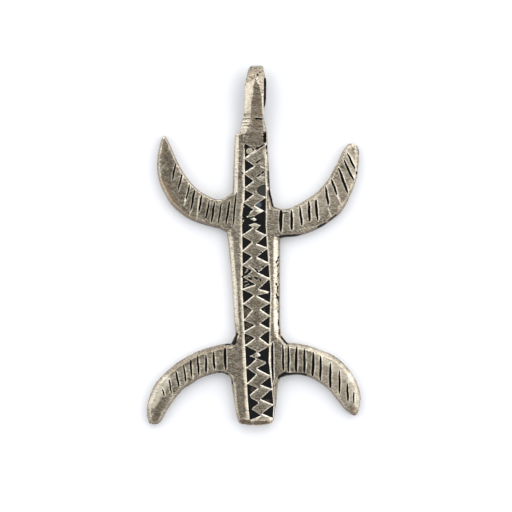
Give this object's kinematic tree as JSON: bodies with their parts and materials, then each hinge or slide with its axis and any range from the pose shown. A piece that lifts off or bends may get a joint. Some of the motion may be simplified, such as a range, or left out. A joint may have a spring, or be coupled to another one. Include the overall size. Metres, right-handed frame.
{
  "type": "salamander pendant",
  "caption": "Flat silver lizard pendant with crescent arms and legs, a band of black-filled triangles down its body and a folded cord loop at its head.",
  "frame": {"origin": "middle of the pendant's length and width, on the surface that its flat back lies on", "axes": "+Y along the body from the tail to the cord loop, +Z out of the engraved face, +X to the right of the face"},
  "size_m": [0.0447, 0.075, 0.005],
  "materials": {
    "silver": "worn, filed and tarnished silver",
    "niello": "glossy black filling"
  },
  "bodies": {
    "root": {"pendant": "silver", "niello": "niello"}
  },
  "joints": []
}
